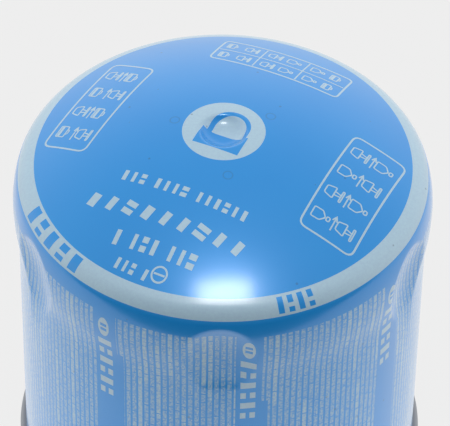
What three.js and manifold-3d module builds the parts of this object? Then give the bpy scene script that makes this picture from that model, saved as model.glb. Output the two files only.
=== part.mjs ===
// Fuel canister: a sealed, drawn steel cartridge with a domed crown and a seamed-on bottom end.
// Millimetres, +Z up. The origin is the centre of the circle that the foot stands on.
// The can can't be seen into, so it is one solid: a profile of arcs turned about the Z axis, with six
// recesses pressed into the shoulder.
//
// A slope below is the angle between the surface's outward normal and +Z: 0 is level and facing up,
// 90 is upright and facing out, 180 is level and facing down. A negative slope faces the axis.

import * as THREE from 'three';
import { mergeVertices, toCreasedNormals } from 'three/addons/utils/BufferGeometryUtils.js';
import Module from 'manifold-3d';

const TURN_SEGMENTS = 64; // facets around the can

// Body
const SHOULDER_RADIUS = 45; // widest radius of the drawn shell
const SHOULDER_HEIGHT = 72.9; // level of that widest circle above the foot
const WALL_RADIUS = 44; // straight side wall
const NECK_LENGTH = 14; // height over which the shoulder draws in to the wall

// Crown
const CROWN_RADIUS = 88.5; // sphere of the domed top
const KNUCKLE_RADIUS = 6; // bend from the dome into the shoulder
const SKIRT_RADIUS = 21; // slower bend between the knuckle and the widest circle
const SKIRT_SLOPE = 75; // degrees, where the knuckle passes into the skirt

// Piercing dish in the middle of the crown
const DISH_FLOOR_RADIUS = 1.6; // flat in the middle
const DISH_FLOOR_ROUND = 4.2;
const DISH_LIP_ROUND = 1.2;
const DISH_SLOPE = 48; // degrees, steepest part of the dish wall

// Double seam that joins the bottom end to the shell
const SEAM_RADIUS = 45.4;
const SEAM_HEIGHT = 3.2;
const SEAM_TOP_ROUND = 1;
const FOOT_WIDTH = 0.8; // flat ring that the can stands on
const FOOT_OUTER_ROUND = 0.7;
const FOOT_INNER_ROUND = 0.5;

// Bottom end, recessed inside the seam
const CHUCK_WALL_HEIGHT = 4; // level at which the wall inside the seam ends
const GROOVE_ROUND = 0.6; // countersink groove above that wall
const PANEL_HEIGHT = 2.6; // level of the flat ring inside the groove
const PANEL_RING_WIDTH = 3.4;
const PANEL_EDGE_ROUND = 0.6;
const PANEL_BEND = 4; // bend from the flat ring into the pushed-in middle
const END_DOME_RADIUS = 125;

// Recesses pressed into the shoulder, each the mark of an upright barrel
const RECESS_TURNS = [0, 63, 117, 180, 243, 297]; // degrees around the can, from -Y
const RECESS_LEVEL = 66.6; // height of the deepest point above the foot
const RECESS_FLOOR_RADIUS = 42.7; // distance of the deepest point from the axis
const RECESS_CROSS_BEND = 22; // bend of the floor from side to side
const RECESS_UPRIGHT_BEND = 36; // bend of the floor from top to bottom
const BARREL_REACH = 14; // half the barrel's height, enough to leave the can above and below
const BARREL_SEGMENTS = 80;
const BARREL_STEPS = 18;

const CREASE_ANGLE = 10; // degrees, edges sharper than this are shaded as edges

const LACQUER_BLUE = 0x3a86d0;
const LACQUER_ROUGHNESS = 0.34;
const LACQUER_METALNESS = 0.55;

const UPRIGHT = 90;
const FACING_DOWN = 180;

const sine = (degrees) => Math.sin(THREE.MathUtils.degToRad(degrees));
const cosine = (degrees) => Math.cos(THREE.MathUtils.degToRad(degrees));

// Points of an arc whose surface bulges away from its centre, from one slope to another.
function bulge(centreR, centreZ, radius, fromSlope, toSlope, steps) {
  const points = [];
  for (let i = 0; i <= steps; i += 1) {
    const slope = fromSlope + (toSlope - fromSlope) * i / steps;
    points.push(new THREE.Vector2(centreR + radius * sine(slope), centreZ + radius * cosine(slope)));
  }
  return points;
}

// Points of an arc whose surface is hollow, with its centre on the open side.
function hollow(centreR, centreZ, radius, fromSlope, toSlope, steps) {
  return bulge(centreR, centreZ, -radius, fromSlope, toSlope, steps);
}

// Slope at which a circle of the given centre touches a larger one that is centred on the axis.
const touchSlope = (centreR, distance) => THREE.MathUtils.radToDeg(Math.asin(centreR / distance));

// Crown: skirt, knuckle and dome touch one another, which sets the dome's centre.
function crownCentres() {
  const skirtR = SHOULDER_RADIUS - SKIRT_RADIUS;
  const skirtStep = SKIRT_RADIUS - KNUCKLE_RADIUS;
  const knuckleR = skirtR + skirtStep * sine(SKIRT_SLOPE);
  const knuckleZ = SHOULDER_HEIGHT + skirtStep * cosine(SKIRT_SLOPE);
  const reach = CROWN_RADIUS - KNUCKLE_RADIUS;
  const domeZ = knuckleZ - Math.sqrt(reach ** 2 - knuckleR ** 2);
  return { skirtR, knuckleR, knuckleZ, domeZ, domeSlope: touchSlope(knuckleR, reach) };
}

// Piercing dish: flat floor, hollow bend and a rounded lip that touches the dome.
function dishProfile(domeZ) {
  const reach = CROWN_RADIUS - DISH_LIP_ROUND;
  const bends = DISH_FLOOR_ROUND + DISH_LIP_ROUND;
  const lipR = DISH_FLOOR_RADIUS + bends * sine(DISH_SLOPE);
  const lipZ = domeZ + Math.sqrt(reach ** 2 - lipR ** 2);
  const floorCentreZ = lipZ + bends * cosine(DISH_SLOPE);
  const lipSlope = touchSlope(lipR, reach);
  const points = [
    new THREE.Vector2(0, floorCentreZ - DISH_FLOOR_ROUND),
    ...hollow(DISH_FLOOR_RADIUS, floorCentreZ, DISH_FLOOR_ROUND, 0, -DISH_SLOPE, 5),
    ...bulge(lipR, lipZ, DISH_LIP_ROUND, -DISH_SLOPE, lipSlope, 5).slice(1),
  ];
  return { points, lipSlope };
}

// Shoulder below its widest circle: two equal bends, one each way, that end on the straight wall.
function neckProfile() {
  const step = SHOULDER_RADIUS - WALL_RADIUS;
  const lean = 2 * THREE.MathUtils.radToDeg(Math.atan(step / NECK_LENGTH));
  const bend = NECK_LENGTH / (2 * sine(lean));
  const wallTop = SHOULDER_HEIGHT - NECK_LENGTH;
  return [
    ...bulge(SHOULDER_RADIUS - bend, SHOULDER_HEIGHT, bend, UPRIGHT, UPRIGHT + lean, 3),
    ...hollow(WALL_RADIUS + bend, wallTop, bend, UPRIGHT + lean, UPRIGHT, 3).slice(1),
  ];
}

// Double seam: a ledge on the wall, a rounded band and the flat foot ring.
function seamProfile() {
  const footOuter = SEAM_RADIUS - FOOT_OUTER_ROUND;
  const footInner = footOuter - FOOT_WIDTH;
  return [
    new THREE.Vector2(WALL_RADIUS, SEAM_HEIGHT),
    ...bulge(SEAM_RADIUS - SEAM_TOP_ROUND, SEAM_HEIGHT - SEAM_TOP_ROUND, SEAM_TOP_ROUND, 0, UPRIGHT, 4),
    ...bulge(footOuter, FOOT_OUTER_ROUND, FOOT_OUTER_ROUND, UPRIGHT, FACING_DOWN, 3),
    ...bulge(footInner, FOOT_INNER_ROUND, FOOT_INNER_ROUND, FACING_DOWN, FACING_DOWN + UPRIGHT, 3),
  ];
}

// Bottom end: wall inside the seam, countersink groove, flat ring and pushed-in middle.
function bottomProfile() {
  const chuckRadius = SEAM_RADIUS - FOOT_OUTER_ROUND - FOOT_WIDTH - FOOT_INNER_ROUND;
  const grooveR = chuckRadius - GROOVE_ROUND;
  const panelRadius = grooveR - GROOVE_ROUND;
  const panelEdgeR = panelRadius - PANEL_EDGE_ROUND;
  const bendR = panelEdgeR - PANEL_RING_WIDTH;
  const bendZ = PANEL_HEIGHT + PANEL_BEND;
  const reach = END_DOME_RADIUS + PANEL_BEND;
  const middleZ = bendZ - Math.sqrt(reach ** 2 - bendR ** 2);
  const middleSlope = touchSlope(bendR, reach);
  return [
    ...hollow(grooveR, CHUCK_WALL_HEIGHT, GROOVE_ROUND, FACING_DOWN + UPRIGHT, UPRIGHT, 5),
    ...bulge(panelEdgeR, PANEL_HEIGHT + PANEL_EDGE_ROUND, PANEL_EDGE_ROUND, UPRIGHT, FACING_DOWN, 3),
    ...bulge(bendR, bendZ, PANEL_BEND, FACING_DOWN, FACING_DOWN + middleSlope, 2),
    ...hollow(0, middleZ, END_DOME_RADIUS, FACING_DOWN + middleSlope, FACING_DOWN, 5).slice(1),
  ];
}

// Whole half section, from the middle of the dish out over the can and back under it to the axis.
function canProfile() {
  const { skirtR, knuckleR, knuckleZ, domeZ, domeSlope } = crownCentres();
  const dish = dishProfile(domeZ);
  return [
    ...dish.points,
    ...bulge(0, domeZ, CROWN_RADIUS, dish.lipSlope, domeSlope, 10).slice(1),
    ...bulge(knuckleR, knuckleZ, KNUCKLE_RADIUS, domeSlope, SKIRT_SLOPE, 6).slice(1),
    ...bulge(skirtR, SHOULDER_HEIGHT, SKIRT_RADIUS, SKIRT_SLOPE, UPRIGHT, 3).slice(1, -1),
    ...neckProfile(),
    ...seamProfile(),
    ...bottomProfile(),
  ];
}

// Turned body along Z, from a half section that runs from its top on the axis to its bottom.
function turned(profile, segments) {
  const geometry = new THREE.LatheGeometry(profile.reverse(), segments);
  geometry.rotateX(Math.PI / 2); // the lathe turns about Y, and the can stands along Z
  return geometry;
}

// Barrel that presses one recess, standing beside the can.
function recessBarrel(turn) {
  const profile = [new THREE.Vector2(0, RECESS_LEVEL + BARREL_REACH)];
  for (let i = 0; i <= BARREL_STEPS; i += 1) {
    const rise = BARREL_REACH * (1 - 2 * i / BARREL_STEPS);
    const sagitta = RECESS_UPRIGHT_BEND - Math.sqrt(RECESS_UPRIGHT_BEND ** 2 - rise ** 2);
    profile.push(new THREE.Vector2(RECESS_CROSS_BEND - sagitta, RECESS_LEVEL + rise));
  }
  profile.push(new THREE.Vector2(0, RECESS_LEVEL - BARREL_REACH));
  const barrel = turned(profile, BARREL_SEGMENTS);
  barrel.translate(0, -RECESS_FLOOR_RADIUS - RECESS_CROSS_BEND, 0);
  barrel.rotateZ(THREE.MathUtils.degToRad(turn));
  return barrel;
}

// Closed solid for manifold-3d: shared vertices merged and the lathe's empty triangles at the axis left out.
function solidOf({ Manifold, Mesh }, geometry) {
  const bare = geometry.clone();
  bare.deleteAttribute('normal');
  bare.deleteAttribute('uv');
  const merged = mergeVertices(bare, 1e-4);
  const corners = merged.index.array;
  const triVerts = [];
  for (let i = 0; i < corners.length; i += 3) {
    const [a, b, c] = [corners[i], corners[i + 1], corners[i + 2]];
    if (a !== b && b !== c && c !== a) triVerts.push(a, b, c);
  }
  return new Manifold(new Mesh({
    numProp: 3,
    vertProperties: new Float32Array(merged.attributes.position.array),
    triVerts: new Uint32Array(triVerts),
  }));
}

async function gasCartridge() {
  const wasm = await Module();
  wasm.setup();
  const body = solidOf(wasm, turned(canProfile(), TURN_SEGMENTS));
  const pressed = RECESS_TURNS.reduce((solid, turn) => solid.subtract(solidOf(wasm, recessBarrel(turn))), body);
  const mesh = pressed.getMesh();
  const shared = new THREE.BufferGeometry();
  shared.setAttribute('position', new THREE.BufferAttribute(new Float32Array(mesh.vertProperties), 3));
  shared.setIndex(new THREE.BufferAttribute(new Uint32Array(mesh.triVerts), 1));
  const geometry = toCreasedNormals(shared, THREE.MathUtils.degToRad(CREASE_ANGLE));
  const material = new THREE.MeshStandardMaterial({
    color: LACQUER_BLUE,
    roughness: LACQUER_ROUGHNESS,
    metalness: LACQUER_METALNESS,
  });
  const can = new THREE.Mesh(geometry, material);
  can.name = 'gas_cartridge';
  return can;
}

const canister = new THREE.Group();
canister.add(await gasCartridge());

export default canister;
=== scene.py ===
"""Looks of the fuel canister: a lacquered, drawn steel can with generic print and a bare seamed bottom end.

The can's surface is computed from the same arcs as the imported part. Lengths are in millimetres in the
dimension classes and are scaled to metres when a mesh is made. The front of the can faces -Y.
"""
import logging
import math
from dataclasses import dataclass, field
from enum import Enum

import bpy
import numpy as np
from mathutils import Matrix, Vector

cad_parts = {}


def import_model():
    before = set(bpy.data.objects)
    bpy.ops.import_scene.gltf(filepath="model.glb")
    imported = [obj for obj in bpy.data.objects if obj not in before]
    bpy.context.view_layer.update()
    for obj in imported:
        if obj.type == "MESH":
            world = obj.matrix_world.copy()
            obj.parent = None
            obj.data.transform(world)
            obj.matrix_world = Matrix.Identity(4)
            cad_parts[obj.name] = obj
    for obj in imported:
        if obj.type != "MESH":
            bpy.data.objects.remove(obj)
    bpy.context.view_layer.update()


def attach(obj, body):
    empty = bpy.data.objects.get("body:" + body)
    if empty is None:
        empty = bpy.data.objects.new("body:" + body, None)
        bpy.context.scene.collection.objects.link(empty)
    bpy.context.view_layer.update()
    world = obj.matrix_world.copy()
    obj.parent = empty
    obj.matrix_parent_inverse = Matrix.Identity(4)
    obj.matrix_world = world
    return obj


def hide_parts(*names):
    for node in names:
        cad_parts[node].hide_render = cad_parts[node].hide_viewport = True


MM = 0.001
PER_METRE = 1000.0
LOG = logging.getLogger("fuel_canister")


class Slot(Enum):
    """Material slots of the record."""

    LACQUER = "lacquered_shell"
    STEEL = "bare_steel"


class Drawing(Enum):
    """Plain line drawings in the crown's panels."""

    CAN = "can"
    BURNER = "burner"
    LAMP = "lamp"


@dataclass(frozen=True)
class CanShape:
    """Dimensions of the can, in millimetres and degrees.

    The caps close the shell and the end where neither can be seen, inside the can.
    """

    shoulder_radius: float = 45.0
    shoulder_height: float = 72.9
    wall_radius: float = 44.0
    neck_length: float = 14.0
    crown_radius: float = 88.5
    knuckle_radius: float = 6.0
    skirt_radius: float = 21.0
    skirt_slope: float = 75.0
    dish_floor_radius: float = 1.6
    dish_floor_round: float = 4.2
    dish_lip_round: float = 1.2
    dish_slope: float = 48.0
    seam_radius: float = 45.4
    seam_height: float = 3.2
    seam_top_round: float = 1.0
    foot_width: float = 0.8
    foot_outer_round: float = 0.7
    foot_inner_round: float = 0.5
    chuck_wall_height: float = 4.0
    groove_round: float = 0.6
    panel_height: float = 2.6
    panel_ring_width: float = 3.4
    panel_edge_round: float = 0.6
    panel_bend: float = 4.0
    end_dome_radius: float = 125.0
    recess_turns: tuple = (0, 63, 117, 180, 243, 297)
    recess_level: float = 66.6
    recess_floor_radius: float = 42.7
    recess_cross_bend: float = 22.0
    recess_upright_bend: float = 36.0
    recess_rim: float = 0.1
    recess_reach: float = 14.0
    shell_skin: float = 0.3
    shell_cap_level: float = 9.6
    end_cap_level: float = 9.4
    end_plug_radius: float = 43.4
    seam_clearance: float = 0.02

    @property
    def knuckle(self) -> tuple[float, float]:
        """Centre of the knuckle's arc."""
        slope = math.radians(self.skirt_slope)
        step = self.skirt_radius - self.knuckle_radius
        return (self.shoulder_radius - self.skirt_radius + step * math.sin(slope),
                self.shoulder_height + step * math.cos(slope))

    @property
    def dome_level(self) -> float:
        """Height of the dome sphere's centre."""
        radius, level = self.knuckle
        return level - math.sqrt((self.crown_radius - self.knuckle_radius) ** 2 - radius ** 2)

    def dome_height(self, radius: np.ndarray) -> np.ndarray:
        """Height of the domed crown at a distance from the axis.

        Args:
            radius: Distances from the axis.
        Returns:
            Heights above the foot.
        """
        return self.dome_level + np.sqrt(self.crown_radius ** 2 - np.square(radius))


@dataclass(frozen=True)
class Finish:
    """Constants of one surface finish."""

    name: str
    colour: tuple
    metallic: float
    roughness: float
    coat: float = 0.0
    coat_roughness: float = 0.1


LACQUER = Finish("blue_lacquer", (0.006, 0.365, 1.000), 0.10, 0.32, 1.0, 0.17)
PALE_INK = (0.530, 0.765, 1.000)
DIRT = (0.03, 0.07, 0.16)
STEEL = Finish("dull_tinplate", (0.30, 0.32, 0.35), 0.9, 0.38)


def arc(centre_r: float, centre_z: float, radius: float, start: float, end: float, steps: int) -> np.ndarray:
    """Points of an arc in the half section.

    Args:
        centre_r: Distance of the arc's centre from the axis.
        centre_z: Height of the arc's centre.
        radius: Radius, negative where the surface is hollow.
        start: Slope of the outward normal from +Z at the first point, in degrees.
        end: Slope at the last point.
        steps: Number of chords.
    Returns:
        Array of (distance from the axis, height) rows.
    """
    slope = np.radians(np.linspace(start, end, steps + 1))
    return np.stack([centre_r + radius * np.sin(slope), centre_z + radius * np.cos(slope)], 1)


def touch(centre_r: float, distance: float) -> float:
    """Slope, in degrees, at which a circle touches a larger one centred on the axis."""
    return math.degrees(math.asin(centre_r / distance))


def shell_section(shape: CanShape) -> np.ndarray:
    """Half section of the drawn shell, from the dish's middle to its hidden inner cap."""
    reach = shape.crown_radius - shape.dish_lip_round
    bends = shape.dish_floor_round + shape.dish_lip_round
    lip_r = shape.dish_floor_radius + bends * math.sin(math.radians(shape.dish_slope))
    lip_z = shape.dome_level + math.sqrt(reach ** 2 - lip_r ** 2)
    floor_z = lip_z + bends * math.cos(math.radians(shape.dish_slope))
    knuckle_r, knuckle_z = shape.knuckle
    dome_slope = touch(knuckle_r, shape.crown_radius - shape.knuckle_radius)
    lip_slope = touch(lip_r, reach)
    lean = 2 * math.degrees(math.atan((shape.shoulder_radius - shape.wall_radius) / shape.neck_length))
    bend = shape.neck_length / (2 * math.sin(math.radians(lean)))
    wall_top = shape.shoulder_height - shape.neck_length
    skirt_r = shape.shoulder_radius - shape.skirt_radius
    wall_foot = shape.seam_height - shape.shell_skin
    wall = np.stack([np.full(9, shape.wall_radius), np.linspace(wall_top, wall_foot, 9)], 1)
    inner = shape.wall_radius - shape.shell_skin
    return np.concatenate([
        [[0.0, floor_z - shape.dish_floor_round]],
        arc(shape.dish_floor_radius, floor_z, -shape.dish_floor_round, 0, -shape.dish_slope, 8),
        arc(lip_r, lip_z, shape.dish_lip_round, -shape.dish_slope, lip_slope, 8)[1:],
        arc(0, shape.dome_level, shape.crown_radius, lip_slope, dome_slope, 36)[1:],
        arc(knuckle_r, knuckle_z, shape.knuckle_radius, dome_slope, shape.skirt_slope, 14)[1:],
        arc(skirt_r, shape.shoulder_height, shape.skirt_radius, shape.skirt_slope, 90, 12)[1:],
        arc(shape.shoulder_radius - bend, shape.shoulder_height, bend, 90, 90 + lean, 14)[1:],
        arc(shape.wall_radius + bend, wall_top, -bend, 90 + lean, 90, 14)[1:],
        wall[1:],
        [[inner, wall_foot], [inner, shape.shell_cap_level], [0.0, shape.shell_cap_level]],
    ])


def end_section(shape: CanShape) -> np.ndarray:
    """Half section of the seamed bottom end, from its hidden top to the middle of its underside."""
    foot_outer = shape.seam_radius - shape.foot_outer_round
    foot_inner = foot_outer - shape.foot_width
    chuck = foot_inner - shape.foot_inner_round
    groove = chuck - shape.groove_round
    edge = groove - shape.groove_round - shape.panel_edge_round
    bend_r = edge - shape.panel_ring_width
    bend_z = shape.panel_height + shape.panel_bend
    reach = shape.end_dome_radius + shape.panel_bend
    middle_z = bend_z - math.sqrt(reach ** 2 - bend_r ** 2)
    slope = touch(bend_r, reach)
    top = shape.seam_height
    ledge = top - shape.seam_clearance
    plug = shape.end_plug_radius
    return np.concatenate([
        [[0.0, shape.end_cap_level], [plug, shape.end_cap_level], [plug, ledge]],
        [[shape.wall_radius + shape.seam_clearance, ledge]],
        arc(shape.seam_radius - shape.seam_top_round, top - shape.seam_top_round, shape.seam_top_round, 0, 90, 7),
        arc(foot_outer, shape.foot_outer_round, shape.foot_outer_round, 90, 180, 6),
        arc(foot_inner, shape.foot_inner_round, shape.foot_inner_round, 180, 270, 5),
        arc(groove, shape.chuck_wall_height, -shape.groove_round, 270, 90, 8),
        arc(edge, shape.panel_height + shape.panel_edge_round, shape.panel_edge_round, 90, 180, 5),
        arc(bend_r, bend_z, shape.panel_bend, 180, 180 + slope, 5),
        arc(0, middle_z, -shape.end_dome_radius, 180 + slope, 180, 14)[1:],
    ])


NEAR_TURN = 0.5  # radians around a recess that its barrel can reach
FAR_OFF = -10.0  # gap, in millimetres, that stands for "not pressed"


def press_recesses(shape: CanShape, radius: np.ndarray, level: np.ndarray, turn: np.ndarray) -> np.ndarray:
    """Radius of the shell once the six recesses are pressed in.

    Args:
        shape: Dimensions of the can.
        radius: Radius of the unpressed shell, one row for each level.
        level: Heights, of the same form.
        turn: Angles around the can from -Y, in radians, of the same form.
    Returns:
        Pressed radius, with rims of a small round.
    """
    barrel = shape.recess_floor_radius + shape.recess_cross_bend
    rise = np.clip(level - shape.recess_level, -20, 20)
    sagitta = shape.recess_upright_bend - np.sqrt(shape.recess_upright_bend ** 2 - rise ** 2)
    waist = shape.recess_cross_bend - sagitta
    pressed = radius
    for centre in np.radians(shape.recess_turns):
        away = np.arctan2(np.sin(turn - centre), np.cos(turn - centre))
        inside = waist ** 2 - (barrel * np.sin(away)) ** 2
        floor = barrel * np.cos(away) - np.sqrt(np.maximum(inside, 0))
        cut = (inside > 0) & (np.abs(away) < NEAR_TURN) & (np.abs(rise) < shape.recess_reach)
        gap = np.where(cut, pressed - floor, FAR_OFF)
        pressed = pressed - 0.5 * (gap + np.sqrt(gap ** 2 + shape.recess_rim ** 2)) * cut
    return pressed


class LatheMesh:
    """Closed mesh turned about Z from a half section that starts and ends on the axis."""

    def __init__(self, name: str, section: np.ndarray, turns: np.ndarray) -> None:
        self.name = name
        self.section = section
        self.turns = turns

    def radii(self, radius: np.ndarray, level: np.ndarray, turn: np.ndarray) -> np.ndarray:
        """Radius of each ring point. A plain lathe keeps the section's radius."""
        return radius

    def build(self, finish: bpy.types.Material) -> bpy.types.Object:
        """Makes the mesh object.

        Args:
            finish: Material of the whole mesh.
        Returns:
            The object, linked to the scene.
        """
        rings = self.section[1:-1]
        count, around = len(rings), len(self.turns)
        radius = np.repeat(rings[:, :1], around, 1)
        level = np.repeat(rings[:, 1:], around, 1)
        turn = np.repeat(self.turns[None], count, 0)
        radius = self.radii(radius, level, turn)
        body = np.stack([radius * np.sin(turn), -radius * np.cos(turn), level], 2).reshape(-1, 3)
        poles = np.array([[0, 0, self.section[0, 1]], [0, 0, self.section[-1, 1]]])
        corners = np.concatenate([body, poles]) * MM
        here = np.arange(around)
        after = (here + 1) % around
        row = (np.arange(count - 1) * around)[:, None]
        quads = np.stack([row + here, row + around + here, row + around + after, row + after], 2).reshape(-1, 4)
        first, last = count * around, count * around + 1
        top = np.stack([np.full(around, first), here, after], 1)
        low = (count - 1) * around
        bottom = np.stack([np.full(around, last), low + after, low + here], 1)
        return mesh_object(self.name, corners, [quads, top, bottom], finish)


class DrawnShell(LatheMesh):
    """Shell of the can, with the recesses of its shoulder."""

    def __init__(self, shape: CanShape) -> None:
        self.shape = shape
        near = np.linspace(-10.5, 10.5, 43)
        spans = [np.asarray(shape.recess_turns)[:, None] + near]
        rest = np.arange(0, 360, 2.0)
        gap = np.abs((rest[:, None] - np.asarray(shape.recess_turns) + 180) % 360 - 180).min(1)
        turns = np.unique(np.round(np.concatenate([np.concatenate(spans).ravel() % 360, rest[gap > 11.2]]), 3))
        super().__init__("drawn_shell", shell_section(shape), np.radians(turns))

    def radii(self, radius: np.ndarray, level: np.ndarray, turn: np.ndarray) -> np.ndarray:
        """Radius with the recesses pressed in, on the outside of the shell only."""
        outside = radius > self.shape.wall_radius - 0.1
        return np.where(outside, press_recesses(self.shape, radius, level, turn), radius)


def mesh_object(name: str, corners: np.ndarray, groups: list, finish: bpy.types.Material) -> bpy.types.Object:
    """Object of a mesh given as arrays.

    Args:
        name: Name of the object and the mesh.
        corners: Vertex positions in metres.
        groups: Arrays of faces, each of one corner count.
        finish: Material of the whole mesh.
    Returns:
        The object, linked to the scene, shaded smooth except at sharp edges.
    """
    loops = np.concatenate([group.ravel() for group in groups]).astype(np.int32)
    sizes = np.concatenate([np.full(len(group), group.shape[1]) for group in groups])
    mesh = bpy.data.meshes.new(name)
    mesh.vertices.add(len(corners))
    mesh.vertices.foreach_set("co", corners.astype(np.float32).ravel())
    mesh.loops.add(len(loops))
    mesh.loops.foreach_set("vertex_index", loops)
    mesh.polygons.add(len(sizes))
    mesh.polygons.foreach_set("loop_start", np.concatenate([[0], np.cumsum(sizes)[:-1]]).astype(np.int32))
    mesh.polygons.foreach_set("use_smooth", np.ones(len(sizes), bool))
    mesh.update(calc_edges=True)
    mesh.validate()
    mesh.set_sharp_from_angle(angle=math.radians(42))
    mesh.materials.append(finish)
    made = bpy.data.objects.new(name, mesh)
    bpy.context.scene.collection.objects.link(made)
    return made


@dataclass
class CrownPrint:
    """Line drawings, bars and plain marks printed on the crown, as thin closed ribbons.

    Points are (x, y) in millimetres, seen from above with the front of the can at the bottom.
    """

    shape: CanShape
    line_width: float = 0.42
    lift: float = 0.02
    corners: list = field(default_factory=list)
    faces: list = field(default_factory=list)
    used: int = 0

    def ribbon(self, path: np.ndarray, width: float, closed: bool = False) -> None:
        """Adds a ribbon along a path.

        Args:
            path: Points in order.
            width: Width of the ribbon.
            closed: True if the last point joins the first.
        """
        path = resample(np.asarray(path, float), closed)
        ahead = np.roll(path, -1, 0) - path
        behind = path - np.roll(path, 1, 0)
        if not closed:
            ahead[-1], behind[0] = behind[-1], ahead[0]
        unit = [step / np.linalg.norm(step, axis=1)[:, None] for step in (ahead, behind)]
        along = unit[0] + unit[1]
        along /= np.maximum(np.linalg.norm(along, axis=1), 0.3)[:, None]
        side = np.stack([-along[:, 1], along[:, 0]], 1) * width / 2
        self.solid(path + side, path - side, closed)

    def solid(self, left: np.ndarray, right: np.ndarray, closed: bool) -> None:
        """Adds a thin closed solid between two edges that run side by side."""
        count = len(left)
        plan = np.concatenate([left, right])
        height = self.shape.dome_height(np.linalg.norm(plan, axis=1))
        top = np.column_stack([plan, height + self.lift])
        under = np.column_stack([plan, height - 0.12])
        base = self.used
        self.corners.append(np.concatenate([top, under]))
        self.used += 4 * count
        here = np.arange(count if closed else count - 1)
        after = (here + 1) % count
        deep = 2 * count
        strips = [(here, here + count, after + count, after),
                  (here + deep, after + deep, after + count + deep, here + count + deep),
                  (here, after, after + deep, here + deep),
                  (here + count, here + count + deep, after + count + deep, after + count)]
        quads = [np.stack(strip, 1) for strip in strips]
        if not closed:
            last = count - 1
            quads.append(np.array([[0, deep, deep + count, count],
                                   [last, last + count, last + count + deep, last + deep]]))
        self.faces.append(np.concatenate(quads) + base)

    def build(self, finish: bpy.types.Material) -> bpy.types.Object:
        """Makes the print's object."""
        corners = np.concatenate(self.corners) * MM
        return mesh_object("crown_print", corners, [np.concatenate(self.faces)], finish)


@dataclass(frozen=True)
class PanelFrame:
    """A panel's own directions on the crown: u runs along it and v across it, both from 0 to 1."""

    origin: tuple
    along: tuple
    across: tuple
    line: float = 0.3

    def place(self, points: np.ndarray) -> np.ndarray:
        """Points of the crown for points given in the panel's directions."""
        points = np.atleast_2d(np.asarray(points, float))
        along, across = points[:, :1] * np.asarray(self.along), points[:, 1:] * np.asarray(self.across)
        return np.asarray(self.origin) + along + across


def resample(path: np.ndarray, closed: bool, step: float = 1.2) -> np.ndarray:
    """Path with points no further apart than a step, so that it follows the dome."""
    ends = np.roll(path, -1, 0) if closed else path[1:]
    starts = path if closed else path[:-1]
    pieces = []
    for start, end in zip(starts, ends):
        count = max(2, int(np.linalg.norm(end - start) / step) + 1)
        pieces.append(start + (end - start) * np.linspace(0, 1, count + 1)[:-1, None])
    return np.concatenate(pieces if closed else pieces + [path[-1:]])


def rounded(points: np.ndarray, radius: float) -> np.ndarray:
    """Closed outline whose corners are cut by short curves."""
    before = np.roll(points, 1, 0) - points
    after = np.roll(points, -1, 0) - points
    blend = np.linspace(0, 1, 6)[:, None]
    curves = []
    for corner, back, ahead in zip(points, before, after):
        start = corner + back * min(0.45, radius / np.linalg.norm(back))
        end = corner + ahead * min(0.45, radius / np.linalg.norm(ahead))
        curves.append((1 - blend) ** 2 * start + 2 * blend * (1 - blend) * corner + blend ** 2 * end)
    return np.concatenate(curves)


class Socket:
    """A shader value that can be used in sums, products and comparisons."""

    def __init__(self, graph: "Graph", socket: bpy.types.NodeSocket) -> None:
        self.graph = graph
        self.socket = socket

    def _math(self, operation: str, *others: "Socket | float") -> "Socket":
        return self.graph.node("ShaderNodeMath", {"operation": operation}, self, *others)

    def __add__(self, other: "Socket | float") -> "Socket":
        return self._math("ADD", other)

    def __sub__(self, other: "Socket | float") -> "Socket":
        return self._math("SUBTRACT", other)

    def __mul__(self, other: "Socket | float") -> "Socket":
        return self._math("MULTIPLY", other)

    def __truediv__(self, other: "Socket | float") -> "Socket":
        return self._math("DIVIDE", other)

    def __gt__(self, other: "Socket | float") -> "Socket":
        return self._math("GREATER_THAN", other)

    def __lt__(self, other: "Socket | float") -> "Socket":
        return self._math("LESS_THAN", other)

    def either(self, other: "Socket | float") -> "Socket":
        """The larger of two values."""
        return self._math("MAXIMUM", other)

    def both(self, other: "Socket | float") -> "Socket":
        """The smaller of two values."""
        return self._math("MINIMUM", other)

    def size(self) -> "Socket":
        """Absolute value."""
        return self._math("ABSOLUTE")

    def floor(self) -> "Socket":
        """Largest whole number not above the value."""
        return self._math("FLOOR")

    def part(self) -> "Socket":
        """Fraction above the floor."""
        return self._math("FRACT")

    def root(self) -> "Socket":
        """Square root."""
        return self._math("SQRT")

    def within(self, low: float, high: float) -> "Socket":
        """1 between two limits, else 0."""
        return (self > low) * (self < high)


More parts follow.
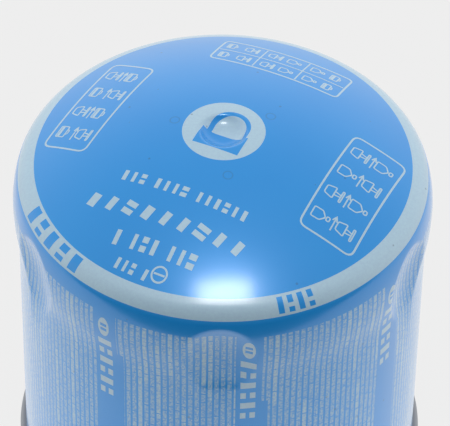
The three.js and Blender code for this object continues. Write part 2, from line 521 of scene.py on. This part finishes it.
class Graph:
    """Node tree of one material, with a single method that makes its nodes."""

    def __init__(self, finish: Finish) -> None:
        self.material = bpy.data.materials.new(finish.name)
        self.material.use_nodes = True
        self.tree = self.material.node_tree
        self.shader = self.tree.nodes["Principled BSDF"]
        self.shader.inputs["Base Color"].default_value = (*finish.colour, 1)
        self.shader.inputs["Metallic"].default_value = finish.metallic
        self.shader.inputs["Roughness"].default_value = finish.roughness
        self.shader.inputs["Coat Weight"].default_value = finish.coat
        self.shader.inputs["Coat Roughness"].default_value = finish.coat_roughness

    def node(self, kind: str, settings: dict, *values: "Socket | float | tuple", output: int = 0) -> Socket:
        """Makes a node and feeds its inputs in order.

        Args:
            kind: Type of the node.
            settings: Properties to set on it.
            values: Inputs in order. None leaves an input as it is.
            output: Index of the output that is returned.
        Returns:
            The chosen output.
        """
        made = self.tree.nodes.new(kind)
        for key, value in settings.items():
            setattr(made, key, value)
        for slot, value in zip(made.inputs, values):
            if isinstance(value, Socket):
                self.tree.links.new(value.socket, slot)
            elif value is not None:
                slot.default_value = value
        return Socket(self, made.outputs[output])

    def mix(self, factor: Socket, first: "Socket | tuple", second: "Socket | tuple") -> Socket:
        """Colour that passes from the first to the second."""
        made = self.tree.nodes.new("ShaderNodeMix")
        made.data_type = "RGBA"
        self.tree.links.new(factor.socket, made.inputs[0])
        for slot, value in ((made.inputs[6], first), (made.inputs[7], second)):
            if isinstance(value, Socket):
                self.tree.links.new(value.socket, slot)
            else:
                slot.default_value = (*value, 1)
        return Socket(self, made.outputs[2])

    def position(self) -> Socket:
        """Place on the object, in metres."""
        return self.node("ShaderNodeTexCoord", {}, output=3)

    def millimetres(self) -> list[Socket]:
        """Place on the object as x, y and z in millimetres."""
        split = self.node("ShaderNodeSeparateXYZ", {}, self.position()).socket.node.outputs
        return [Socket(self, output) * PER_METRE for output in split]

    def feed(self, name: str, value: Socket) -> None:
        """Links a value to one of the shader's inputs."""
        self.tree.links.new(value.socket, self.shader.inputs[name])


@dataclass(frozen=True)
class CrownMarks:
    """Print of the crown that the shell's material draws, in millimetres and degrees from the front."""

    disc_radius: float = 8.83
    ring_radius: float = 40.27
    ring_bottom: float = 79.6
    words: tuple = ((-57.5, 21.0, 5), (21.3, 8.8, 4))  # angle of the middle, length and number of blocks
    word_level: float = 81.2
    word_radius: float = 42.0
    word_height: float = 3.3
    word_slope: float = 1.45  # length along the ring's slope for each millimetre of height
    sign_centre: tuple = (-0.75, -2.75)
    sign_turn: float = -24.3
    block_half: tuple = (5.2, 2.8)
    bow_centre: tuple = (0.2, 4.4)
    bow_radii: tuple = (3.5, 4.5)
    spots: tuple = ((-10.4, 3.5), (9.9, 5.1), (1.0, -12.8))
    spot_radii: tuple = (0.85, 1.15)


@dataclass(frozen=True)
class WallText:
    """Layout of the greeked text columns on the wall, in millimetres and degrees from the front."""

    skin_radius: float = 42.0  # no print nearer to the axis than this
    pitch: float = 1.37
    letter: tuple = (0.30, 0.36)
    top: float = 75.4
    bottom: float = 7.5
    blocks: tuple = (-32.8, 7.7, 52.8, 96.0, 140.0, -176.0, -132.0, -85.0)
    tag_level: float = 71.2
    word_top: float = 67.9
    word_bottom: float = 49.5


def ink_masks(graph: Graph, shape: CanShape, marks: CrownMarks, text: WallText) -> tuple[Socket, Socket]:
    """Shares of full ink and of half-strength text ink at a point of the shell.

    Args:
        graph: Material to make the nodes in.
        shape: Dimensions of the can.
        marks: Print of the crown.
        text: Layout of the wall's print.
    Returns:
        Solid print, and the fine text of the wall.
    """
    x, y, z = graph.millimetres()
    radius = (x * x + y * y).root()
    turn = graph.node("ShaderNodeMath", {"operation": "ARCTAN2"}, x, y * -1.0)
    along = turn * shape.wall_radius

    def blocks(run: Socket, cross: Socket, length: float, height: float, count: int) -> Socket:
        """Row of plain blocks along `run`, from 0 to the length, centred across on 0."""
        cell = length / count
        order = (run / cell).floor()
        local = (((run / cell).part() - 0.5) * cell).size()
        halved = ((order * 0.5).part() > 0.25) * (cross.size() < height * 0.13)
        bar = (local < cell * 0.28) * (cross.size() < height / 2)
        return bar * (halved * -1.0 + 1.0) * run.within(0.0, length)

    tilt = math.radians(marks.sign_turn)
    right, ahead = x - marks.sign_centre[0], y - marks.sign_centre[1]
    across = right * math.cos(tilt) + ahead * math.sin(tilt)
    upward = right * -math.sin(tilt) + ahead * math.cos(tilt)
    block = (across.size() < marks.block_half[0]) * (upward.size() < marks.block_half[1])
    bow_x, bow_y = across - marks.bow_centre[0], upward - marks.bow_centre[1]
    bow = (bow_x * bow_x + bow_y * bow_y).root().within(*marks.bow_radii) * (upward > 4.0)
    legs = bow_x.size().within(*marks.bow_radii) * upward.within(2.7, 4.5)
    sign = block.either(bow).either(legs)
    disc = (radius < marks.disc_radius) * (sign * -1.0 + 1.0)
    on_crown = z > shape.knuckle[1]
    ring = (radius > marks.ring_radius) * (z > marks.ring_bottom)
    ring_words = None
    for centre, length, count in marks.words:
        run = (turn - math.radians(centre)) * marks.word_radius + length / 2
        word = blocks(run, (z - marks.word_level) * marks.word_slope, length, marks.word_height, count)
        ring_words = word if ring_words is None else ring_words.either(word)
    ring = ring * (ring_words * ring * -1.0 + 1.0)

    blank, solid = None, None
    for number, block in enumerate(text.blocks):
        off = (turn - math.radians(block)) * shape.wall_radius
        gap = off.within(-2.6, 2.9).either(off.within(2.8, 4.3) * (z < 64.0 - 9.0 * (number % 2)))
        tall = (z - text.tag_level) / 2.75
        wide = off / 1.3
        eyes = (off.size() < 0.75) * (z - text.tag_level).size().within(0.25, 1.1)
        tag = ((tall * tall + wide * wide) < 1.0) * (eyes * -1.0 + 1.0)
        word = blocks((z * -1.0) + text.word_top, off, text.word_top - text.word_bottom, 3.2, 6)
        mark = tag.either(word)
        blank = gap if blank is None else blank.either(gap)
        solid = mark if solid is None else solid.either(mark)

    column = (along / text.pitch)
    order = column.floor()
    across = (column.part() - 0.5).size()
    stroke = graph.node("ShaderNodeCombineXYZ", {}, along / text.letter[0], order * 7.0, z / text.letter[1])
    speck = graph.node("ShaderNodeTexWhiteNoise", {"noise_dimensions": "3D"},
                       graph.node("ShaderNodeVectorMath", {"operation": "FLOOR"}, stroke))
    words = graph.node("ShaderNodeCombineXYZ", {}, order * 3.7, (z * 0.42 + order * 0.37), 0.0)
    word_gap = graph.node("ShaderNodeTexWhiteNoise", {"noise_dimensions": "3D"},
                          graph.node("ShaderNodeVectorMath", {"operation": "FLOOR"}, words))
    stretch = graph.node("ShaderNodeCombineXYZ", {}, order * 5.3, (z / 23.0 + order * 0.21).floor(), 0.0)
    bold = graph.node("ShaderNodeTexWhiteNoise", {"noise_dimensions": "2D"}, stretch) > 0.88
    space = (z * 0.42 + order * 0.37).part() < (word_gap * 0.11)
    strength = speck * 0.60 + bold * 0.3 + 0.20
    fine = strength * (across < 0.33) * (space * -1.0 + 1.0) * z.within(text.bottom, text.top)
    outside = radius > text.skin_radius
    fine = fine * (blank * -1.0 + 1.0) * outside
    solid = (solid * (on_crown * -1.0 + 1.0) * outside).either(disc).either(ring)
    return solid, fine.both(1.0)


def shade(colour: tuple, factor: float) -> tuple:
    """Colour made darker or lighter, kept within its range."""
    return tuple(min(1, channel * factor) for channel in colour)


def ink_grain(graph: Graph) -> Socket:
    """Fine mottle of the pale ink."""
    return graph.node("ShaderNodeTexNoise", {}, graph.position(), None, 1500.0, 3.0, 0.7)


def lacquer_material(shape: CanShape) -> bpy.types.Material:
    """Blue lacquer over bright steel, with its print."""
    graph = Graph(LACQUER)
    marks = CrownMarks()
    solid, fine = ink_masks(graph, shape, marks, WallText())
    position = graph.position()
    grain = ink_grain(graph)
    cloud = graph.node("ShaderNodeTexNoise", {}, position, None, 45.0, 2.0, 0.5)
    speck = graph.node("ShaderNodeTexVoronoi", {"feature": "F1"}, position, None, 160.0)
    pale = graph.mix(grain, shade(PALE_INK, 0.88), shade(PALE_INK, 1.12))
    blue = graph.mix(cloud, shade(LACQUER.colour, 0.94), shade(LACQUER.colour, 1.06))
    ink = solid.either(fine)
    colour = graph.mix(ink, blue, pale)
    x, y, _ = graph.millimetres()
    dirt = (speck < 0.045) * 0.35
    for centre_x, centre_y in marks.spots:
        away_x, away_y = x - centre_x, y - centre_y
        dirt = dirt.either((away_x * away_x + away_y * away_y).root().within(*marks.spot_radii) * 0.22)
    colour = graph.mix(dirt, colour, DIRT)
    graph.feed("Base Color", colour)
    graph.feed("Metallic", (ink * -0.06) + LACQUER.metallic)
    graph.feed("Roughness", (ink * 0.10) + (grain * 0.05) + (LACQUER.roughness - 0.02))
    return graph.material


def ink_material() -> bpy.types.Material:
    """Pale ink of the crown's ribbons, under the same clear coat."""
    graph = Graph(Finish("pale_ink", PALE_INK, 0.04, 0.42, 1.0, 0.1))
    graph.feed("Base Color", graph.mix(ink_grain(graph), shade(PALE_INK, 0.88), shade(PALE_INK, 1.12)))
    return graph.material


def steel_material() -> bpy.types.Material:
    """Dull tinplate of the seamed end, with a faint cloudy roughness."""
    graph = Graph(STEEL)
    cloud = graph.node("ShaderNodeTexNoise", {}, graph.position(), None, 220.0, 3.0, 0.6)
    graph.feed("Roughness", cloud * 0.25 + (STEEL.roughness - 0.12))
    graph.feed("Base Color", graph.mix(cloud, (0.31, 0.33, 0.36), (0.42, 0.44, 0.48)))
    return graph.material


LEFT_PANEL = PanelFrame((-38.5, 3.5), (14.5, 25.4), (8.9, -5.6))
RIGHT_PANEL = PanelFrame((15.75, -23.0), (12.3, 26.6), (10.9, -5.4))
TABLE_PANEL = PanelFrame((-3.4, 27.8), (27.4, -12.2), (3.9, 9.2))

DRAWINGS = {
    Drawing.CAN: [[(0.15, 0.2), (0.15, 0.8), (0.6, 0.8), (0.6, 0.2)],
                  [(0.25, 0.2), (0.25, 0.8), (0.32, 0.8), (0.32, 0.2)],
                  [(0.6, 0.35), (0.6, 0.65), (0.72, 0.6), (0.72, 0.4)]],
    Drawing.BURNER: [[(0.1, 0.3), (0.1, 0.7), (0.5, 0.8), (0.5, 0.2)],
                     [(0.5, 0.4), (0.5, 0.6), (0.8, 0.55), (0.8, 0.45)],
                     [(0.8, 0.2), (0.8, 0.8), (0.88, 0.8), (0.88, 0.2)]],
    Drawing.LAMP: [[(0.1, 0.25), (0.1, 0.75), (0.5, 0.75), (0.7, 0.5), (0.5, 0.25)],
                   [(0.75, 0.4), (0.75, 0.6), (0.9, 0.6), (0.9, 0.4)]],
}


@dataclass(frozen=True)
class MarkRow:
    """A row of plain marks that stands where the can has a line of lettering."""

    start: tuple
    end: tuple
    height: float
    words: tuple
    slant: float = 0.0

    def draw(self, layer: CrownPrint) -> None:
        """Adds the row's marks to the print: plain upright blocks."""
        start, end = np.asarray(self.start, float), np.asarray(self.end, float)
        along = end - start
        length = np.linalg.norm(along)
        along /= length
        up = np.array([-along[1], along[0]])
        cells = sum(self.words) + 0.7 * (len(self.words) - 1)
        pitch = length / cells
        place, number = 0.0, 0
        for word in self.words:
            for _ in range(word):
                self.mark(layer, start + along * place * pitch, along * pitch * 0.76, up * self.height, number)
                place += 1
                number += 1
            place += 0.7

    def mark(self, layer: CrownPrint, corner: np.ndarray, wide: np.ndarray, tall: np.ndarray, number: int) -> None:
        """Adds one plain block, full or in two halves by its number."""
        lean = tall + wide * self.slant
        middle = corner + wide * 0.5
        broad = np.linalg.norm(wide) * (0.78 if number % 3 else 0.95)
        if number % 4 == 2:
            layer.ribbon(np.array([middle, middle + lean * 0.40]), broad)
            layer.ribbon(np.array([middle + lean * 0.60, middle + lean]), broad)
        else:
            layer.ribbon(np.array([middle, middle + lean]), broad * 0.62)


ROWS = (
    MarkRow((-21.6, -11.8), (5.1, -24.4), 2.5, (3, 4, 6)),
    MarkRow((-29.2, -16.4), (4.6, -32.3), 3.0, (9,), 0.25),
    MarkRow((-23.2, -26.9), (-5.6, -34.9), 3.3, (1, 3, 3)),
    MarkRow((-22.6, -32.0), (-15.4, -36.3), 2.3, (3, 1)),
)


def draw_panel(layer: CrownPrint, panel: PanelFrame, cells: int, drawings: tuple) -> None:
    """Adds a rounded panel with one plain drawing, a step bar and an arrow in each cell.

    Args:
        layer: Print to add to.
        panel: Place of the panel.
        cells: Number of cells along the panel.
        drawings: Drawings, used by turns.
    """
    layer.ribbon(rounded(panel.place([(0, 0), (1, 0), (1, 1), (0, 1)]), 1.7), layer.line_width, closed=True)
    span = 0.92 / cells
    for number in range(cells):
        low = 0.04 + span * number
        for shift, kind in ((0.06, drawings[number % len(drawings)]), (0.52, drawings[(number + 1) % len(drawings)])):
            for path in DRAWINGS[kind]:
                points = np.array([(low + span * (0.12 + 0.76 * y), shift + 0.40 * x) for x, y in path])
                layer.ribbon(rounded(panel.place(points), 0.35), panel.line, closed=True)
        stem = panel.place([(low + span * 0.2, 0.5), (low + span * 0.75, 0.5)])
        layer.ribbon(stem, panel.line)
        tip = panel.place([(low + span * 0.58, 0.46), (low + span * 0.78, 0.5), (low + span * 0.58, 0.54)])
        layer.ribbon(tip, panel.line)


def draw_table(layer: CrownPrint, panel: PanelFrame) -> None:
    """Adds the table at the back: three by two cells, each with one plain drawing."""
    layer.ribbon(rounded(panel.place([(0, 0), (1, 0), (1, 1), (0, 1)]), 1.2), layer.line_width, closed=True)
    layer.ribbon(panel.place([(0.012, 0.5), (0.988, 0.5)]), panel.line)
    for share in (1 / 3, 2 / 3):
        layer.ribbon(panel.place([(share, 0.04), (share, 0.96)]), panel.line)
    kinds = list(Drawing)
    for number in range(6):
        column, row = number % 3, number // 3
        for shift, kind in ((0.08, kinds[number % 3]), (0.52, kinds[(number + 1) % 3])):
            for path in DRAWINGS[kind]:
                points = np.array([((column + shift + 0.38 * x) / 3, 0.06 + 0.5 * row + 0.38 * y) for x, y in path])
                layer.ribbon(rounded(panel.place(points), 0.3), panel.line, closed=True)


def draw_crown(layer: CrownPrint) -> None:
    """Adds all the ribbons of the crown."""
    draw_panel(layer, LEFT_PANEL, 4, (Drawing.CAN, Drawing.BURNER))
    draw_panel(layer, RIGHT_PANEL, 4, (Drawing.LAMP, Drawing.BURNER))
    draw_table(layer, TABLE_PANEL)
    for row in ROWS:
        row.draw(layer)
    circle = np.linspace(0, 2 * math.pi, 25)[:-1]
    round_mark = np.stack([-12.8 + 1.6 * np.cos(circle), -35.0 + 1.6 * np.sin(circle)], 1)
    layer.ribbon(round_mark, 0.4, closed=True)
    layer.ribbon(np.array([(-13.9, -34.5), (-11.7, -35.5)]), 0.4)


@dataclass(frozen=True)
class Softbox:
    """A rectangular lamp."""

    name: str
    place: tuple
    size: tuple
    power: float
    target: tuple = (0.0, 0.0, 0.08)

    def build(self) -> None:
        """Adds the lamp to the scene."""
        lamp = bpy.data.lights.new(self.name, "AREA")
        lamp.shape = "RECTANGLE"
        lamp.size, lamp.size_y = self.size
        lamp.energy = self.power
        holder = bpy.data.objects.new(self.name, lamp)
        holder.location = self.place
        holder.rotation_euler = (Vector(self.target) - Vector(self.place)).to_track_quat("-Z", "Y").to_euler()
        bpy.context.scene.collection.objects.link(holder)


# Level of the surroundings: from straight down to straight up, and from the front to the back
SKY_STOPS = ((0.0, 0.8), (1.0, 0.55), (0.45, 0.80), (0.56, 0.80), (0.70, 0.78), (0.85, 0.55), (0.93, 0.46))
ROOM_STOPS = ((0.0, 0.20), (1.0, 1.0), (0.18, 0.24), (0.32, 0.65), (0.46, 0.95))
SKY_STRENGTH = 1.17
CARD_GLOW = 0.84
TABLE_GLOW = 0.02
TABLE_EDGE = -0.15
FLOOR_REACH = 3.0

LAMPS = (
    Softbox("overhead", (0.015, -0.17, 1.0), (0.25, 0.12), 1.85),
)


def set_world() -> None:
    """Bright studio surroundings that darken a little with height, with a dark room low behind the camera."""
    scene = bpy.context.scene
    scene.view_settings.view_transform = "Standard"
    world = bpy.data.worlds.new("studio")
    scene.world = world
    world.use_nodes = True
    tree = world.node_tree
    place = tree.nodes.new("ShaderNodeTexCoord")
    split = tree.nodes.new("ShaderNodeSeparateXYZ")
    tree.links.new(place.outputs["Generated"], split.inputs[0])
    shades = []
    for axis, stops in ((2, SKY_STOPS), (1, ROOM_STOPS)):
        spread = tree.nodes.new("ShaderNodeMapRange")
        spread.inputs[1].default_value = -1.0
        tree.links.new(split.outputs[axis], spread.inputs[0])
        ramp = tree.nodes.new("ShaderNodeValToRGB")
        tree.links.new(spread.outputs[0], ramp.inputs[0])
        elements = ramp.color_ramp.elements
        for index, (position, level) in enumerate(stops):
            stop = elements[index] if index < 2 else elements.new(position)
            stop.position, stop.color = position, (level, level, level, 1)
        shades.append(ramp.outputs[0])
    product = tree.nodes.new("ShaderNodeMix")
    product.data_type, product.blend_type = "RGBA", "MULTIPLY"
    product.inputs[0].default_value = 1.0
    for slot, shade in zip((product.inputs[6], product.inputs[7]), shades):
        tree.links.new(shade, slot)
    tree.links.new(product.outputs[2], tree.nodes["Background"].inputs[0])
    tree.nodes["Background"].inputs[1].default_value = SKY_STRENGTH


@dataclass(frozen=True)
class Viewpoint:
    """Camera fitted to the photograph: metres, degrees and, for the lens, pixels."""

    distance: float = 0.750
    elevation: float = 43.98
    aim: float = 0.0796
    tilt: float = 0.65
    swing: float = 0.04
    roll: float = -0.9
    focal: float = 3516.5
    picture_width: float = 450
    sensor: float = 36


def set_camera(view: Viewpoint) -> None:
    """Camera that looks down on the can as in the photograph."""
    height = math.radians(view.elevation)
    place = Vector((0, -view.distance * math.cos(height), view.distance * math.sin(height)))
    back = place.normalized()
    right = Vector((1, 0, 0))
    turn = Matrix((right, back.cross(right), back))
    for angle, axis in ((view.swing, "Y"), (view.tilt, "X"), (view.roll, "Z")):
        turn = Matrix.Rotation(math.radians(angle), 3, axis) @ turn
    lens = bpy.data.cameras.new("camera")
    lens.sensor_width = view.sensor
    lens.lens = view.focal / view.picture_width * view.sensor
    holder = bpy.data.objects.new("camera", lens)
    matrix = turn.transposed().to_4x4()
    matrix.translation = place + Vector((0, 0, view.aim))
    holder.matrix_world = matrix
    bpy.context.scene.collection.objects.link(holder)
    bpy.context.scene.camera = holder


def add_floor() -> None:
    """Bright card that the can stands on, and a dark table in front of it."""
    for name, front, back, glow in (("card", TABLE_EDGE, FLOOR_REACH, CARD_GLOW),
                                    ("dark_table", -FLOOR_REACH, TABLE_EDGE - 0.0001, TABLE_GLOW)):
        graph = Graph(Finish(name, (0.02, 0.02, 0.02), 0.0, 1.0))
        graph.shader.inputs["Specular IOR Level"].default_value = 0.0
        graph.shader.inputs["Emission Color"].default_value = (glow, glow, glow, 1)
        graph.shader.inputs["Emission Strength"].default_value = 1.0
        corners = np.array([[-FLOOR_REACH, front, 0], [FLOOR_REACH, front, 0],
                            [FLOOR_REACH, back, 0], [-FLOOR_REACH, back, 0]], float)
        mesh_object(name, corners, [np.array([[0, 1, 2, 3]])], graph.material)


def main() -> None:
    """Builds the can, its surroundings and the camera."""
    logging.basicConfig(level=logging.INFO)
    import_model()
    shape = CanShape()
    shell = DrawnShell(shape).build(lacquer_material(shape))
    end = LatheMesh("seamed_end", end_section(shape), np.radians(np.arange(0, 360, 2.0))).build(steel_material())
    print_layer = CrownPrint(shape)
    draw_crown(print_layer)
    ink = print_layer.build(ink_material())
    for piece, slot in ((shell, Slot.LACQUER), (end, Slot.STEEL), (ink, Slot.LACQUER)):
        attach(piece, "root")
        LOG.info("%s: %d faces", piece.name, len(piece.data.polygons))
    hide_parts("gas_cartridge")
    add_floor()
    set_world()
    set_camera(Viewpoint())
    for lamp in LAMPS:
        lamp.build()


if __name__ == "__main__":
    main()
